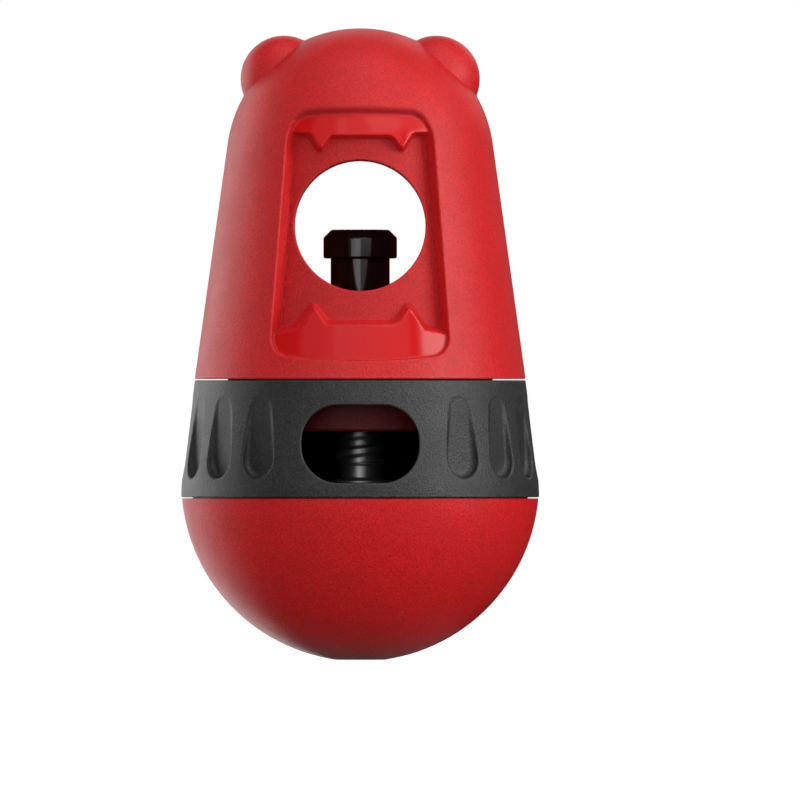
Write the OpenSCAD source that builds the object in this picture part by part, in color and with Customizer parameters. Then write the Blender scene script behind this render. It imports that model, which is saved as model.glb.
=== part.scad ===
// Roly-poly treat dispenser for a dog, in the shape of a grinning round head.
// The weighted round base carries a cup of treats. A fluted ring turns round the cup and brings its
// window in front of the cup's window or takes it away. The hollow head stands on a nut on the
// threaded stud in the middle, and a long knob that shows in the mouth screws down on the stud and
// clamps it. Millimetres, +Z up, the dispensing window and one mouth look along -Y, and the origin is
// the middle of the flat foot.

/* [Overall] */
// Height from the foot to the top of the head
toy_h = 154.9; // [150:0.1:160]
// Height of the gap seen between base and ring and between ring and head
seam_gap = 0.3; // [0.2:0.05:0.4]
// Clearance between pieces that move past each other
run_gap = 0.3; // [0.2:0.05:0.4]
// Clearance between pieces that are fitted into each other
fit_gap = 0.2; // [0.1:0.05:0.3]

/* [Base] */
// Radius of the round base
base_r = 43.9; // [43:0.1:46]
// Height of the base's rim above the foot
base_h = 39.55; // [37:0.05:40]
// Radius of the small flat that the toy stands on
foot_r = 6; // [4:0.1:7]
// Wall of the base
base_wall = 3; // [2.6:0.1:3.2]
// Thickness of the base over the foot
base_floor = 3.4; // [3.3:0.1:5]
// Width of the rim outside the spigot
rim_w = 2.8; // [2.4:0.1:3]
// Height of the spigot above the rim
spigot_h = 2.95; // [2.6:0.05:3.1]
// Wall of the spigot
spigot_wall = 1.8; // [1.5:0.1:2.2]

/* [Counterweight] */
// Height of the steel weight
weight_h = 19; // [15:0.5:22]
// Metal left between the screw bosses and the upper edge of the weight
weight_edge = 2.3; // [1.5:0.1:4]

/* [Treat cup] */
// Wall of the cup
cup_wall = 1.8; // [1.4:0.1:2.2]
// Floor of the cup
cup_floor = 2; // [1.6:0.1:2.4]
// How much narrower the cup's rim is than its foot, on the radius
cup_taper = 1; // [0.6:0.1:1.2]
// How much the cup's window is larger than the ring's, on each side
window_margin = 0.4; // [0.2:0.1:0.5]
// Depth of the ribs under the floor
cup_rib_h = 3; // [2:0.5:5]
// Thickness of the ribs under the floor
cup_rib_t = 1.6; // [1.2:0.1:2.4]

/* [Grip ring] */
// Height of the ring
ring_h = 28.7; // [28:0.1:30]
// Radius of the swell at the foot of the ring
ring_swell_r = 48; // [44:1:60]
// Thickness of the deck over the cup
deck_t = 2; // [1.6:0.1:2.4]
// Wall left behind the flutes at the foot of the ring
flute_wall = 1.7; // [1.5:0.1:2]
// Flutes that would fit all round, three of which give way to the window
flute_places = 20; // [18:1:20]
// Width of a flute at its foot
flute_low_w = 9.1; // [8:0.1:9.5]
// Width of a flute at its head
flute_high_w = 7; // [6:0.1:8]
// Length of a flute
flute_len = 20.5; // [18:0.5:21]
// Height of the flutes' foot above the ring's lower edge
flute_rise = 4.75; // [4:0.25:5.5]
// Width of the dispensing window
window_w = 28.75; // [24:0.25:29]
// Height of the dispensing window
window_h = 19; // [18.6:0.1:19.5]
// Radius of the window's corners
window_corner = 9; // [6:0.1:9.2]
// Height of the window's middle above the ring's lower edge
window_rise = 13.1; // [13:0.1:14]
// How far the ring turns from open to shut, in degrees
ring_turn = 50; // [45:1:60]

/* [Head] */
// How far the head's rim stands in from the widest part of the base
shoulder_in = 3.1; // [2.9:0.1:3.5]
// How far the ring's upper edge stands in from the head's rim
ring_step = 0.25; // [0:0.05:0.4]
// Radius of the round top
dome_r = 32.85; // [32:0.05:34]
// Wall of the head
head_wall = 2.5; // [2:0.1:2.8]
// Radius of an ear
ear_r = 10.65; // [9.5:0.05:11.5]
// Distance of an ear's middle from the head's middle plane
ear_out = 18.7; // [17.5:0.1:19.5]
// Height of an ear's middle above the middle of the dome
ear_up = 20.25; // [19:0.05:21]

/* [Mouth] */
// Half the angle that the mouth spans round the head, in degrees
mouth_half = 34; // [31:0.5:36]
// Height of the mouth's lower edge above the head's rim
mouth_low = 4.5; // [4:0.25:6]
// Height of the mouth's upper edge above the head's rim
mouth_high = 65.25; // [64:0.25:67]
// How much the upper and lower edges bulge in the middle
mouth_bulge = 1.3; // [0.6:0.1:1.6]
// Corner radius at the top of the mouth
mouth_top_corner = 5; // [4:0.5:8]
// Corner radius at the bottom of the mouth
mouth_low_corner = 4.5; // [3:0.5:6]
// Depth of the mouth's floor under the head's surface
mouth_depth = 4; // [3.4:0.1:4.6]
// Depth of the gums under the head's surface
gum_depth = 1.3; // [0.8:0.1:1.6]
// Height of the lower gum's edge above the head's rim
low_gum = 13.8; // [12:0.1:15]
// How much lower that edge is outside the fangs
low_gum_drop = 1.1; // [0:0.1:1.5]
// Height of the upper gum's edge above the head's rim
high_gum = 59.4; // [58:0.1:60.5]
// How much higher that edge is outside the fangs
high_gum_rise = 0.5; // [0:0.1:1]
// Distance of a lower fang from the middle of the mouth
low_fang_at = 11.7; // [11:0.1:12.5]
// Width of a lower fang at the gum
low_fang_w = 6.6; // [5.5:0.1:7.5]
// Height of a lower fang before its tip is rounded
low_fang_h = 4.9; // [4:0.1:5.5]
// Distance of an upper fang from the middle of the mouth
high_fang_at = 10.1; // [9.5:0.1:11.5]
// Width of an upper fang at the gum
high_fang_w = 4.8; // [4:0.1:6]
// Height of an upper fang before its tip is rounded
high_fang_h = 3.7; // [3:0.1:4.5]
// Radius of a fang's tip
fang_tip = 0.9; // [0.6:0.1:1]
// Radius of the round window in the mouth
mouth_hole_r = 16.03; // [14.5:0.01:16.5]
// Height of the round window's middle above the head's rim
mouth_hole_up = 37.55; // [36.5:0.05:38.5]

/* [Lid under the head] */
// Thickness of the flange inside the head's rim
flange_t = 3.4; // [3:0.1:4]
// How far the skirt stands in from the cup's rim
skirt_in = 5.6; // [5.2:0.1:6]
// Wall of the skirt
skirt_wall = 2.2; // [1.8:0.1:2.4]
// How far the skirt reaches below the head's rim
skirt_drop = 12.65; // [11:0.05:14]
// How far the lid's floor lies above the skirt's lower edge
lid_floor_up = 3.2; // [3:0.1:4]
// Thickness of the lid's floor
lid_floor = 2.2; // [1.8:0.1:2.6]
// Wall of the tube round the stud
tube_wall = 3; // [2.4:0.1:3.4]
// How far the tube reaches above the head's rim
tube_up = 3.15; // [2:0.05:3.4]
// Thickness of the ribs between tube and skirt
lid_rib_t = 1.6; // [1.2:0.1:2.4]

/* [Stud, nut and knob] */
// Radius over the crests of the stud's thread
stud_r = 6; // [5.6:0.1:6.4]
// Radius of the stud's plain neck
stud_neck_r = 4.9; // [4.5:0.1:5.2]
// Length of the plain neck above the foot flange
stud_neck_h = 4; // [3:0.1:5]
// Radius of the stud's foot flange
stud_foot_r = 8; // [7.6:0.1:10]
// Thickness of the stud's foot flange
stud_foot_h = 1.6; // [1.2:0.1:2]
// Length of thread above the washer
stud_reach = 12.3; // [10:0.1:13]
// Thickness of the nut that the head stands on
nut_t = 2.8; // [2.4:0.1:3]
// Width across the nut's flats
nut_w = 15; // [14:0.5:17]
// Thickness of the washer under the knob
washer_t = 1.2; // [1:0.1:1.5]
// Radius of the knob's hub
hub_r = 11; // [10:0.1:12]
// Length of the knob's hub
hub_h = 14.8; // [14.6:0.1:16]
// Radius of the knob's neck
knob_neck_r = 7.25; // [6.8:0.05:7.6]
// Length of the knob's neck
knob_neck_h = 10.4; // [9:0.1:11]
// Radius of the knob's head
knob_r = 9.03; // [8.6:0.01:9.4]
// Height of the knob's head
knob_h = 7.1; // [6.5:0.1:7.5]
// Height of the bevel round the top of the knob
knob_bevel = 2; // [1.5:0.1:2.4]

/* [Screws] */
// Radius of a screw's shank
screw_r = 1.3; // [1.2:0.05:1.4]
// Radius of a screw's head
screw_head_r = 2.2; // [2.1:0.05:2.25]
// Height of a screw's head
screw_head_h = 1.6; // [1.4:0.1:1.8]
// Length of a screw's shank
screw_len = 9; // [8:0.5:10]
// Radius of the bosses that the screws bite into
boss_r = 3.4; // [3.2:0.1:3.6]
// Length of the bosses in the head
boss_h = 12; // [11:0.5:14]
// Angle of the screws from the left and right of the toy, in degrees
screw_at = 28; // [24:1:32]

/* [Hidden] */
$fn = 96;
over = 1;
edge = 0.4;
thread_fit = 0.05;
red = [0.73, 0.15, 0.15];
grey = [0.19, 0.2, 0.21];
black = [0.05, 0.05, 0.055];
steel = [0.7, 0.71, 0.72];

// Base and cup
base_z = sqrt(base_r ^ 2 - foot_r ^ 2);
spigot_r = base_r - rim_w;
spigot_in_r = spigot_r - spigot_wall;
spigot_z = base_h + spigot_h;
weight_z = base_floor + weight_h;
weight_r = base_r - base_wall - fit_gap;
weight_top_r = sqrt(weight_r ^ 2 - (base_z - weight_z) ^ 2);
cup_screw_r = weight_top_r - boss_r - weight_edge;
cup_r = spigot_in_r - fit_gap;
cup_top_r = cup_r - cup_taper;
cup_z = spigot_z - cup_floor;
cup_post_r = 3;
cup_posts = 3;
cup_post_at = cup_screw_r * 0.6;
cup_ribs = 6;

// Ring
ring_z = base_h + seam_gap;
ring_top = ring_z + ring_h;
ring_in_r = cup_r + run_gap;
ring_in_top_r = cup_top_r + run_gap;
ledge_z = spigot_z + fit_gap;
deck_z = ring_top - deck_t;
cup_top = deck_z - run_gap;
ring_top_r = base_r - shoulder_in - ring_step;
swell_x = base_r - ring_swell_r;
ring_draft = atan2(ring_h, ring_top_r - swell_x) - acos(ring_swell_r / norm([ring_top_r - swell_x, ring_h]));
flute_floor_r = ring_in_r + flute_wall;
lug_half = 4;
lug_gap = asin(run_gap / spigot_in_r);

// Head and lid
head_z = ring_top + seam_gap;
head_rim_r = base_r - shoulder_in;
dome_z = toy_h - dome_r;
head_draft = acos(dome_r / norm([head_rim_r, dome_z - head_z])) - atan2(dome_z - head_z, head_rim_r);
flange_z = head_z + flange_t;
skirt_r = cup_top_r - skirt_in;
skirt_in_r = skirt_r - skirt_wall;
skirt_z = head_z - skirt_drop;
lid_z = skirt_z + lid_floor_up;
lid_screw_r = (skirt_r + head_r(flange_z, head_wall + fit_gap)) / 2;
screw_sides = [screw_at, 180 - screw_at, 180 + screw_at, -screw_at];
tube_in_r = stud_r + 2 * run_gap;
tube_r = tube_in_r + tube_wall;
tube_z = head_z + tube_up;
lid_ribs = 6;
lid_rib_z = lid_z + lid_floor + 0.7 * (head_z - lid_z - lid_floor);

// Mouth, drawn on the upright plane at mouth_y and widening with the distance from the axis
mouth_y = head_rim_r * cos(mouth_half);
mouth_w = mouth_y * tan(mouth_half);
mouth_near = 0.3 * mouth_y;
mouth_far = 1.4 * mouth_y;
wide_fillet = 2.2;
tight_fillet = 0.8;
low_gum_fall = 1.5;
outline_steps = 8;

// Stud, nut and knob
stud_foot_z = spigot_z + stud_foot_h;
thread_z = stud_foot_z + stud_neck_h;
washer_z = tube_z;
hub_z = washer_z + washer_t;
stud_top = hub_z + stud_reach;
stud_tip = 1;
key_w = 4;
key_h = 1.2;
nut_z = lid_z - nut_t;
hub_top = hub_z + hub_h;
knob_z = hub_top + knob_neck_h;
knob_top = knob_z + knob_h;
knob_bore_r = stud_r + run_gap;
stud_screw_r = 1.5;
stud_screw_len = 12;

// Radius of the head's outside, or of a surface that lies inset under it, at a height on its cone
function head_r(z, inset = 0) = (dome_r - inset) / cos(head_draft) - (z - dome_z) * tan(head_draft);

// Place on a circle round the axis
function around(r, a) = [r * cos(a), r * sin(a), 0];

// Arc that rounds the corner b of an outline that comes from a and goes on to c
function corner_arc(a, b, c, r) =
    let (
        back = (a - b) / norm(a - b),
        on = (c - b) / norm(c - b),
        half = acos(back * on) / 2,
        middle = b + (back + on) / norm(back + on) * r / sin(half),
        first = b + back * r / tan(half) - middle,
        last = b + on * r / tan(half) - middle,
        start = atan2(first.y, first.x),
        turn = (atan2(last.y, last.x) - start + 540) % 360 - 180
    )
    [for (i = [0:outline_steps])
        middle + r * [cos(start + turn * i / outline_steps), sin(start + turn * i / outline_steps)]];

// Outline with every corner rounded by its own radius, where a radius of zero leaves it sharp
function rounded(corners, radii) =
    let (n = len(corners))
    [for (i = [0:n - 1])
        each radii[i] == 0 ? [corners[i]]
            : corner_arc(corners[(i + n - 1) % n], corners[i], corners[(i + 1) % n], radii[i])];

// Radius that rounds a shallow peak so that the arc takes up the given share of each side
function peak_radius(run, rise, share) = share * norm([run, rise]) / tan(atan2(rise, run));

// Rounded slot standing on the XZ plane, by its full width, full height and corner radius
module slot_shape(w, h, r) {
    square([w - 2 * r, h], center = true);
    square([w, h - 2 * r], center = true);
    for (x = [-1, 1], z = [-1, 1])
        translate([x * (w / 2 - r), z * (h / 2 - r)])
            circle(r);
}

// Pan-head screw pointing along +Z, with the underside of its head at the origin
module screw(shank_r, head_r, head_h, length) {
    rotate_extrude()
        polygon([[0, -head_h], [head_r - edge, -head_h], [head_r, edge - head_h], [head_r, 0],
            [shank_r, 0], [shank_r, length - shank_r], [0, length]]);
}

// Solid bounded by the head's surface, or by one that lies inset under it, down to a height
module head_form(inset, low) {
    rotate_extrude()
        intersection() {
            union() {
                translate([0, dome_z])
                    circle(dome_r - inset);
                polygon([[0, low], [head_r(low, inset), low],
                    [(dome_r - inset) * cos(head_draft), dome_z + (dome_r - inset) * sin(head_draft)],
                    [0, dome_z + (dome_r - inset) * sin(head_draft)]]);
            }
            translate([0, low])
                square([base_r, toy_h]);
        }
}

// Both ears, or the hollows in them
module ears(inset) {
    for (side = [-1, 1])
        translate([side * ear_out, 0, dome_z + ear_up])
            sphere(ear_r - inset);
}

// Outline of the mouth, grown by an amount on every side
module mouth_outline(grow) {
    w = mouth_w + grow;
    low = head_z + mouth_low - grow;
    high = head_z + mouth_high + grow;
    low_side = low + mouth_bulge;
    high_side = high - mouth_bulge;
    peak = peak_radius(w, mouth_bulge, 0.6);
    polygon(rounded(
        [[-w, low_side], [0, low], [w, low_side], [w, high_side], [0, high], [-w, high_side]],
        [mouth_low_corner + grow, peak, mouth_low_corner + grow, mouth_top_corner, peak, mouth_top_corner]));
}

// Upper edge of the lower gum, or lower edge of the upper one, with its two fangs, as a filled shape
// that reaches out to the far side. Each fang has its wide fillet on the left.
module gum_outline(edge_z, way, fang_at, fang_w, fang_h, drop, fall, last_fillet) {
    w = mouth_w + over;
    tip_z = edge_z + way * fang_h;
    side_z = edge_z - way * drop;
    end_z = side_z - way * fall;
    far_z = end_z - way * mouth_w;
    outer = fang_at + fang_w / 2 * (fang_h + drop) / fang_h;
    inner = fang_at - fang_w / 2;
    polygon(rounded(
        [[-w, far_z], [-w, end_z], [-outer, side_z], [-fang_at, tip_z], [-inner, edge_z],
            [inner, edge_z], [fang_at, tip_z], [outer, side_z], [w, end_z], [w, far_z]],
        [0, 0, wide_fillet, fang_tip, tight_fillet, wide_fillet, fang_tip, last_fillet, 0, 0]));
}

// Both gums with their fangs, carried straight along -Y and cut off by the head's surface
module gums() {
    intersection() {
        translate([0, -mouth_near, 0])
            rotate([90, 0, 0])
                linear_extrude(height = mouth_far - mouth_near) {
                    gum_outline(head_z + low_gum, 1, low_fang_at, low_fang_w, low_fang_h,
                        low_gum_drop, low_gum_fall, tight_fillet);
                    gum_outline(head_z + high_gum, -1, high_fang_at, high_fang_w, high_fang_h,
                        high_gum_rise, 0, wide_fillet);
                }
        head_form(gum_depth, skirt_z);
    }
}

// Carries an outline of the mouth along -Y, with its sides on planes through the axis
module mouth_prism() {
    translate([0, -mouth_near, 0])
        rotate([90, 0, 0])
            linear_extrude(height = mouth_far - mouth_near, scale = [mouth_far / mouth_near, 1],
                slices = 1, segments = 1)
                scale([mouth_near / mouth_y, 1])
                    children();
}

// Space taken out of the head for one mouth, down to its floor and round its gums
module mouth_recess() {
    difference() {
        mouth_prism()
            mouth_outline(0);
        head_form(mouth_depth, skirt_z);
        gums();
    }
}

// Hollow of the head, which keeps its wall behind both mouths and makes room for the lid's flange
module head_hollow() {
    difference() {
        head_form(head_wall, head_z - over);
        for (back = [0, 180])
            rotate([0, 0, back])
                difference() {
                    mouth_prism()
                        mouth_outline(head_wall);
                    head_form(mouth_depth + head_wall, skirt_z);
                    cylinder(r = 2 * base_r, h = flange_z + fit_gap);
                }
    }
    ears(head_wall);
}

module head_shell() {
    color(red)
        difference() {
            union() {
                difference() {
                    union() {
                        head_form(0, head_z);
                        ears(0);
                    }
                    head_hollow();
                }
                intersection() {
                    for (a = screw_sides)
                        translate(around(lid_screw_r, a) + [0, 0, flange_z])
                            cylinder(r = boss_r, h = boss_h);
                    head_form(head_wall / 2, head_z);
                }
            }
            for (back = [0, 180])
                rotate([0, 0, back])
                    mouth_recess();
            translate([0, base_r, head_z + mouth_hole_up])
                rotate([90, 0, 0])
                    cylinder(r = mouth_hole_r, h = 2 * base_r);
            for (a = screw_sides)
                translate(around(lid_screw_r, a) + [0, 0, flange_z - over])
                    cylinder(r = screw_r + thread_fit, h = screw_len + over);
        }
}

module chamber_lid() {
    color(red)
        difference() {
            union() {
                rotate_extrude()
                    difference() {
                        polygon([
                            [tube_in_r, lid_z], [skirt_in_r, lid_z], [skirt_in_r, skirt_z],
                            [skirt_r - edge, skirt_z], [skirt_r, skirt_z + edge], [skirt_r, head_z],
                            [head_r(head_z, head_wall + fit_gap), head_z],
                            [head_r(flange_z, head_wall + fit_gap), flange_z], [tube_in_r, flange_z]
                        ]);
                        translate([tube_r, lid_z + lid_floor])
                            square([skirt_in_r - tube_r, flange_z]);
                        translate([0, tube_z])
                            square([tube_r, flange_t]);
                    }
                for (i = [0:lid_ribs - 1])
                    rotate([0, 0, 360 / lid_ribs * (i + 1 / 2)])
                        translate([tube_r - edge, -lid_rib_t / 2, lid_z])
                            cube([skirt_in_r + 2 * edge - tube_r, lid_rib_t, lid_rib_z - lid_z]);
            }
            for (a = screw_sides)
                translate(around(lid_screw_r, a) + [0, 0, head_z - over]) {
                    cylinder(r = screw_r + fit_gap / 2, h = flange_t + 2 * over);
                    cylinder(r = screw_head_r + fit_gap, h = over + screw_head_h);
                }
        }
}

module lid_screws() {
    color(steel)
        for (a = screw_sides)
            translate(around(lid_screw_r, a) + [0, 0, head_z + screw_head_h])
                screw(screw_r, screw_head_r, screw_head_h, screw_len);
}

// Flute seen from outside: wide round foot, narrower round head
module flute_shape() {
    low_r = flute_low_w / 2;
    high_r = flute_high_w / 2;
    rise = flute_len - low_r - high_r;
    lean = asin((low_r - high_r) / rise);
    polygon([
        each [for (i = [0:outline_steps])
            let (a = 180 - lean + i * (180 + 2 * lean) / outline_steps)
                [low_r * cos(a), low_r + low_r * sin(a)]],
        each [for (i = [0:outline_steps])
            let (a = lean + i * (180 - 2 * lean) / outline_steps)
                [high_r * cos(a), low_r + rise + high_r * sin(a)]]
    ]);
}

// Section of the ring: swelling outside, deck, tapering inside, ledge and the recess for the spigot
module ring_section() {
    polygon([
        [spigot_r + run_gap, ring_z],
        each [for (i = [0:outline_steps])
            let (a = ring_draft * i / outline_steps)
                [swell_x + ring_swell_r * cos(a), ring_z + ring_swell_r * sin(a)]],
        [ring_top_r + edge * tan(ring_draft), ring_top - edge],
        [ring_top_r - edge, ring_top],
        [skirt_r + run_gap, ring_top],
        [skirt_r + run_gap, deck_z],
        [ring_in_top_r, deck_z],
        [ring_in_r, ledge_z],
        [spigot_r + run_gap, ledge_z]
    ]);
}

module grip_ring() {
    color(grey)
        difference() {
            union() {
                rotate_extrude()
                    ring_section();
                rotate([0, 0, 90 - lug_half])
                    rotate_extrude(angle = 2 * lug_half)
                        translate([ring_in_r, ring_z + edge])
                            square([spigot_r + run_gap + edge - ring_in_r, ledge_z - ring_z]);
            }
            translate([0, 0, ring_z + window_rise])
                rotate([90, 0, 0])
                    linear_extrude(height = base_r + over)
                        slot_shape(window_w, window_h, window_corner);
            for (i = [2:flute_places - 2])
                rotate([0, 0, i * 360 / flute_places])
                    translate([0, -flute_floor_r, ring_z + flute_rise])
                        rotate([90, 0, 0])
                            linear_extrude(height = base_r)
                                flute_shape();
        }
}

// Half section of the round base, which goes straight up above its widest part
module base_profile(inset) {
    translate([0, base_z])
        circle(base_r - inset);
    translate([0, base_z])
        square([base_r - inset, base_r]);
}

module base_shell() {
    color(red)
        difference() {
            union() {
                rotate_extrude()
                    difference() {
                        union() {
                            intersection() {
                                base_profile(0);
                                square([base_r, base_h]);
                            }
                            translate([0, base_h - over])
                                square([spigot_r, spigot_h + over]);
                        }
                        intersection() {
                            base_profile(base_wall);
                            translate([0, base_floor])
                                square([spigot_in_r, spigot_z]);
                        }
                    }
                intersection() {
                    for (a = screw_sides)
                        translate(around(cup_screw_r, a))
                            cylinder(r = boss_r, h = cup_z);
                    translate([0, 0, base_z])
                        sphere(base_r - base_wall / 2);
                }
            }
            for (a = screw_sides)
                translate(around(cup_screw_r, a) + [0, 0, spigot_z - screw_len])
                    cylinder(r = screw_r + thread_fit, h = screw_len + over);
            rotate([0, 0, 90 - lug_half - lug_gap])
                rotate_extrude(angle = ring_turn + 2 * lug_half + 2 * lug_gap)
                    translate([spigot_in_r - over, base_h])
                        square([spigot_wall + 2 * over, spigot_h + over]);
        }
}

module counterweight() {
    color(steel)
        difference() {
            rotate_extrude()
                intersection() {
                    translate([0, base_z])
                        circle(weight_r);
                    translate([0, base_floor])
                        square([base_r, weight_h]);
                }
            for (a = screw_sides)
                translate(around(cup_screw_r, a))
                    cylinder(r = boss_r + fit_gap, h = base_r);
        }
}

module treat_cup() {
    color(black)
        difference() {
            union() {
                rotate_extrude()
                    polygon([[0, cup_z], [cup_r, cup_z], [cup_r, spigot_z], [cup_top_r, cup_top],
                        [cup_top_r - cup_wall, cup_top], [cup_r - cup_wall, spigot_z], [0, spigot_z]]);
                for (i = [0:cup_ribs - 1])
                    rotate([0, 0, 360 / cup_ribs * i])
                        translate([stud_foot_r, -cup_rib_t / 2, cup_z - cup_rib_h])
                            cube([cup_r - cup_wall - stud_foot_r, cup_rib_t, cup_rib_h + cup_floor / 2]);
                for (i = [0:cup_posts - 1])
                    translate(around(cup_post_at, 90 + 360 / cup_posts * i) + [0, 0, weight_z])
                        cylinder(r = cup_post_r, h = cup_z + cup_floor / 2 - weight_z);
            }
            translate([0, 0, ring_z + window_rise])
                rotate([90, 0, 0])
                    linear_extrude(height = base_r)
                        slot_shape(window_w + 2 * window_margin, window_h + 2 * window_margin,
                            window_corner + window_margin);
            for (a = screw_sides)
                translate(around(cup_screw_r, a) + [0, 0, cup_z - over])
                    cylinder(r = screw_r + fit_gap, h = cup_floor + 2 * over);
            translate([0, 0, cup_z - over])
                cylinder(r = stud_screw_r + fit_gap, h = cup_floor + 2 * over);
            translate([-stud_neck_r - fit_gap, -key_w / 2 - fit_gap, spigot_z - key_h - fit_gap])
                cube([2 * (stud_neck_r + fit_gap), key_w + 2 * fit_gap, key_h + fit_gap + over]);
        }
}

module cup_screws() {
    color(steel)
        for (a = screw_sides)
            translate(around(cup_screw_r, a) + [0, 0, spigot_z])
                mirror([0, 0, 1])
                    screw(screw_r, screw_head_r, screw_head_h, screw_len);
}

module stud() {
    color(black)
        difference() {
            union() {
                rotate_extrude()
                    polygon([[0, spigot_z], [stud_foot_r, spigot_z], [stud_foot_r, stud_foot_z - edge],
                        [stud_foot_r - edge, stud_foot_z], [stud_neck_r + 2 * edge, stud_foot_z],
                        [stud_neck_r, stud_foot_z + 2 * edge], [stud_neck_r, thread_z - edge],
                        [stud_r, thread_z + stud_r - stud_neck_r], [stud_r, stud_top - stud_tip],
                        [stud_r - stud_tip, stud_top], [0, stud_top]]);
                translate([-stud_neck_r, -key_w / 2, spigot_z - key_h])
                    cube([2 * stud_neck_r, key_w, key_h + stud_foot_h]);
            }
            translate([0, 0, cup_z - over])
                cylinder(r = stud_screw_r + thread_fit, h = stud_screw_len + 2 * over);
        }
}

module stud_screw() {
    color(steel)
        translate([0, 0, cup_z])
            screw(stud_screw_r, 2 * stud_screw_r, screw_head_h, stud_screw_len);
}

module seat_nut() {
    color(black)
        translate([0, 0, nut_z])
            difference() {
                cylinder(r = nut_w / 2 / cos(30), h = nut_t, $fn = 6);
                translate([0, 0, -over])
                    cylinder(r = stud_r + thread_fit, h = nut_t + 2 * over);
            }
}

module knob_washer() {
    color([0.12, 0.12, 0.12])
        translate([0, 0, washer_z])
            difference() {
                cylinder(r = tube_r, h = washer_t);
                translate([0, 0, -over])
                    cylinder(r = tube_in_r, h = washer_t + 2 * over);
            }
}

module knob() {
    color(black)
        difference() {
            rotate_extrude()
                polygon([
                    [0, hub_z], [hub_r - edge, hub_z], [hub_r, hub_z + edge],
                    [hub_r, hub_top - 2 * edge], [hub_r - 2 * edge, hub_top],
                    [knob_neck_r + edge, hub_top], [knob_neck_r, hub_top + edge],
                    [knob_neck_r, knob_z], [knob_r - edge, knob_z], [knob_r, knob_z + edge],
                    [knob_r, knob_top - knob_bevel], [knob_r - knob_bevel, knob_top], [0, knob_top]
                ]);
            translate([0, 0, hub_z - over])
                cylinder(r = knob_bore_r, h = stud_reach + over + stud_tip);
        }
}

base_shell();
counterweight();
treat_cup();
cup_screws();
stud();
stud_screw();
seat_nut();
grip_ring();
head_shell();
chamber_lid();
lid_screws();
knob_washer();
knob();
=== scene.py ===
"""Looks of a dog puzzle feeder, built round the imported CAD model.

The moulded pieces come from distance fields: a function says how far a point lies outside the piece,
in millimetres, and net() turns it into a closed mesh. Lengths are in millimetres until a mesh is made.
"""

import math

import bpy
import numpy as np
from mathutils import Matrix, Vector


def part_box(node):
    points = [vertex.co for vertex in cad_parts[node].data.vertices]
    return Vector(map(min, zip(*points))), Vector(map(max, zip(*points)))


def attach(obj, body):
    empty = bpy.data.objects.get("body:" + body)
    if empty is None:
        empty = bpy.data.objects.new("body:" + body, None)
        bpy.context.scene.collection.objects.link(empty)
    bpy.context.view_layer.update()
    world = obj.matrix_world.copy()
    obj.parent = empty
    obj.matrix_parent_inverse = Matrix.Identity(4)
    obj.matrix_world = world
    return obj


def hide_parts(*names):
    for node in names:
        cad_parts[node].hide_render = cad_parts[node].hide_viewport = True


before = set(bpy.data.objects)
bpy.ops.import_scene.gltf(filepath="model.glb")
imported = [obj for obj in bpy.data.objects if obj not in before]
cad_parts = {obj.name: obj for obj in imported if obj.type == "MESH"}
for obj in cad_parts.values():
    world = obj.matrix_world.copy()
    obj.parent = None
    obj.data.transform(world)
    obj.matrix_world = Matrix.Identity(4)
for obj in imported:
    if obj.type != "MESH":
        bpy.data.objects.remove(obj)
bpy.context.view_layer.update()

MM = 0.001

# Camera: a long lens far away, level with the ring, and the toy left of the picture's middle
IMAGE_PX = 800
IMAGE_WIDTH = 196.27 * MM
AXIS_PX = 360.2
CAMERA_AWAY = 9.0
CAMERA_UP = 63.7 * MM
SENSOR_MM = 36


def add_camera():
    """Long lens whose shift puts the toy's axis where the photograph has it."""
    data = bpy.data.cameras.new("camera")
    data.sensor_width = SENSOR_MM
    data.lens = SENSOR_MM * CAMERA_AWAY / IMAGE_WIDTH
    data.shift_x = 0.5 - AXIS_PX / IMAGE_PX
    camera = bpy.data.objects.new("camera", data)
    camera.location = (0, -CAMERA_AWAY, CAMERA_UP)
    camera.rotation_euler = (math.pi / 2, 0, 0)
    bpy.context.collection.objects.link(camera)
    bpy.context.scene.camera = camera


add_camera()


# Sizes taken from the frame, in millimetres
def node_box(name):
    """Lowest and highest corner of a CAD node."""
    low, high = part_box(name)
    return np.array(low) / MM, np.array(high) / MM


HEAD_LOW, HEAD_HIGH = node_box("head_shell")
RING_LOW, RING_HIGH = node_box("grip_ring")
KNOB_LOW, KNOB_HIGH = node_box("knob")
FLANGE_Z = node_box("chamber_lid")[1][2]
STUD_TOP = node_box("stud")[1][2]

# Head: the rim's sharp corner lies a little inside the CAD box
RIM_IN = 0.2
RIM_R = HEAD_HIGH[0] - RIM_IN
HEAD_Z = HEAD_LOW[2]
DOME_R = 32.85
DOME_Z = HEAD_HIGH[2] - DOME_R
DRAFT = math.acos(DOME_R / math.hypot(RIM_R, DOME_Z - HEAD_Z)) - math.atan2(DOME_Z - HEAD_Z, RIM_R)
HEAD_WALL = 2.5
HOLLOW_ROUND = 2.0
HOLLOW_EAR_ROUND = 1.0
BACKING_ROUND = 2.0
BACKING_FOOT = 0.2
BACKING_FOOT_ROUND = 1.0
EAR_R = 10.65
EAR_X = 18.7
EAR_Z = DOME_Z + 20.4
EAR_CREASE = 0.25
RIM_ROUND = 0.25

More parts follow.
